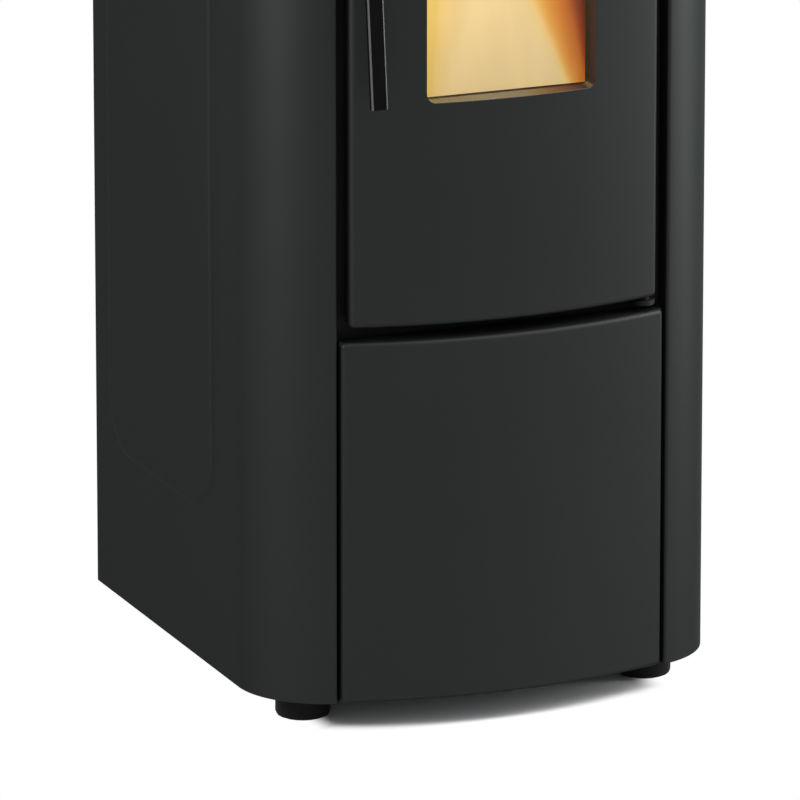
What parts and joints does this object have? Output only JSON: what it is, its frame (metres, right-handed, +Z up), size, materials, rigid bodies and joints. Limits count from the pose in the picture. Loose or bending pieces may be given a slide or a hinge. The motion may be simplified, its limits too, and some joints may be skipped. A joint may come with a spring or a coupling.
{
  "type": "pellet stove",
  "caption": "Free-standing pellet stove with a bowed front, hinged glass door, lidded hopper, feed auger and rear flue spigot.",
  "frame": {"origin": "middle of the footprint on the floor", "axes": "+Z up, +X to the right when facing the door, -Y out of the front"},
  "size_m": [0.516, 0.6002, 1.1013],
  "materials": {
    "charcoal_paint": "satin charcoal stove paint",
    "black_paint": "matt black heat paint",
    "cast_iron": "rough dark grey casting",
    "zinc_steel": "zinc-coated sheet",
    "bare_steel": "turned bare steel",
    "ceramic_glass": "clear ceramic glass, slightly amber",
    "vermiculite": "pressed vermiculite board",
    "black_plastic": "black moulded plastic",
    "key_plastic": "grey key caps",
    "black_rubber": "black rubber",
    "rope": "knitted glass-fibre rope",
    "aluminium": "die-cast aluminium",
    "circuit_board": "green solder mask",
    "display": "dark display window"
  },
  "bodies": {
    "stove_body": {"air_intake_pipe": "zinc_steel", "auger_gearmotor": "aluminium", "auger_tube": "zinc_steel", "baffle_plate": "vermiculite", "base_tray": "black_paint", "burn_pot_holder": "cast_iron", "control_board": "circuit_board", "control_panel": "black_plastic", "display_window": "display", "exhaust_fan_housing": "aluminium", "exhaust_motor": "aluminium", "exhaust_spigot": "aluminium", "firebox": "cast_iron", "firebox_rear_plate": "cast_iron", "front_frame": "black_paint", "heat_exchanger": "black_paint", "hinge_lower": "zinc_steel", "hinge_upper": "zinc_steel", "hopper": "zinc_steel", "hopper_grid": "zinc_steel", "igniter": "bare_steel", "latch_keeper": "zinc_steel", "left_side_panel": "charcoal_paint", "liner_left": "vermiculite", "liner_right": "vermiculite", "lower_front_panel": "charcoal_paint", "main_board": "circuit_board", "mains_inlet": "black_plastic", "pellet_chute": "zinc_steel", "rear_panel": "black_paint", "right_side_panel": "charcoal_paint", "room_fan_housing": "black_plastic", "room_fan_motor": "zinc_steel", "smoke_duct": "zinc_steel", "top_cover": "charcoal_paint", "upper_front_panel": "charcoal_paint"},
    "door": {"door_panel": "charcoal_paint", "door_frame": "cast_iron", "door_glass": "ceramic_glass", "door_gasket": "rope"},
    "door_handle": {"handle_lever": "black_paint", "handle_spindle": "bare_steel", "latch_cam": "bare_steel"},
    "hopper_lid": {"hopper_lid": "charcoal_paint", "hopper_lid_seal": "black_rubber"},
    "ash_drawer": {"ash_drawer": "zinc_steel"},
    "burn_pot": {"burn_pot": "cast_iron"},
    "auger_screw": {"auger_screw": "bare_steel"},
    "exhaust_impeller": {"exhaust_impeller": "zinc_steel"},
    "room_fan_rotor": {"room_fan_rotor": "aluminium"},
    "mains_rocker": {"mains_rocker": "black_plastic"},
    "button_power": {"button_power": "key_plastic"},
    "button_menu": {"button_menu": "key_plastic"},
    "button_down": {"button_down": "key_plastic"},
    "button_up": {"button_up": "key_plastic"},
    "foot_front_left": {"foot_front_left": "black_rubber"},
    "foot_front_right": {"foot_front_right": "black_rubber"},
    "foot_rear_left": {"foot_rear_left": "black_rubber"},
    "foot_rear_right": {"foot_rear_right": "black_rubber"}
  },
  "joints": [
    {"name": "door_hinge", "type": "hinge", "parent": "stove_body", "child": "door", "pos_m": [0.158, -0.23588, 0.4275], "axis": [0, 0, 1], "range_deg": [0, 110]},
    {"name": "handle_turn", "type": "hinge", "parent": "door", "child": "door_handle", "pos_m": [-0.158, -0.27888, 0.821], "axis": [0, 1, 0], "range_deg": [0, 60]},
    {"name": "hopper_lid_hinge", "type": "hinge", "parent": "stove_body", "child": "hopper_lid", "pos_m": [0, 0.25842, 1.0968], "axis": [-1, 0, 0], "range_deg": [0, 95]},
    {"name": "ash_drawer_slide", "type": "slide", "parent": "stove_body", "child": "ash_drawer", "axis": [0, -1, 0], "range_m": [0, 0.14]},
    {"name": "burn_pot_lift", "type": "slide", "parent": "stove_body", "child": "burn_pot", "axis": [0, 0, 1], "range_m": [0, 0.055]},
    {"name": "auger_spin", "type": "hinge", "parent": "stove_body", "child": "auger_screw", "pos_m": [0, 0.17212, 0.739], "axis": [0, -0.7071, 0.7071], "continuous": true},
    {"name": "exhaust_impeller_spin", "type": "hinge", "parent": "stove_body", "child": "exhaust_impeller", "pos_m": [-0.125, 0.10712, 0.254], "axis": [0, 1, 0], "continuous": true},
    {"name": "room_fan_spin", "type": "hinge", "parent": "stove_body", "child": "room_fan_rotor", "pos_m": [0, 0.19712, 0.097], "axis": [1, 0, 0], "continuous": true},
    {"name": "mains_rocker_tilt", "type": "hinge", "parent": "stove_body", "child": "mains_rocker", "pos_m": [0.19, 0.25812, 0.1347], "axis": [0, 0, 1], "range_deg": [-7, 7]},
    {"name": "button_power_press", "type": "slide", "parent": "stove_body", "child": "button_power", "axis": [0, 0, -1], "range_m": [0, 0.0012], "stiffness_N_per_m": 800},
    {"name": "button_menu_press", "type": "slide", "parent": "stove_body", "child": "button_menu", "axis": [0, 0, -1], "range_m": [0, 0.0012], "stiffness_N_per_m": 800},
    {"name": "button_down_press", "type": "slide", "parent": "stove_body", "child": "button_down", "axis": [0, 0, -1], "range_m": [0, 0.0012], "stiffness_N_per_m": 800},
    {"name": "button_up_press", "type": "slide", "parent": "stove_body", "child": "button_up", "axis": [0, 0, -1], "range_m": [0, 0.0012], "stiffness_N_per_m": 800},
    {"name": "foot_front_left_turn", "type": "hinge", "parent": "stove_body", "child": "foot_front_left", "pos_m": [-0.191, -0.16788, 0], "axis": [0, 0, 1], "continuous": true},
    {"name": "foot_front_right_turn", "type": "hinge", "parent": "stove_body", "child": "foot_front_right", "pos_m": [0.191, -0.16788, 0], "axis": [0, 0, 1], "continuous": true},
    {"name": "foot_rear_left_turn", "type": "hinge", "parent": "stove_body", "child": "foot_rear_left", "pos_m": [-0.191, 0.21212, 0], "axis": [0, 0, 1], "continuous": true},
    {"name": "foot_rear_right_turn", "type": "hinge", "parent": "stove_body", "child": "foot_rear_right", "pos_m": [0.191, 0.21212, 0], "axis": [0, 0, 1], "continuous": true}
  ],
  "couplings": [
    {"joint": "ash_drawer_slide", "follows": "door_hinge", "m_per_rad": 0.07292}
  ]
}
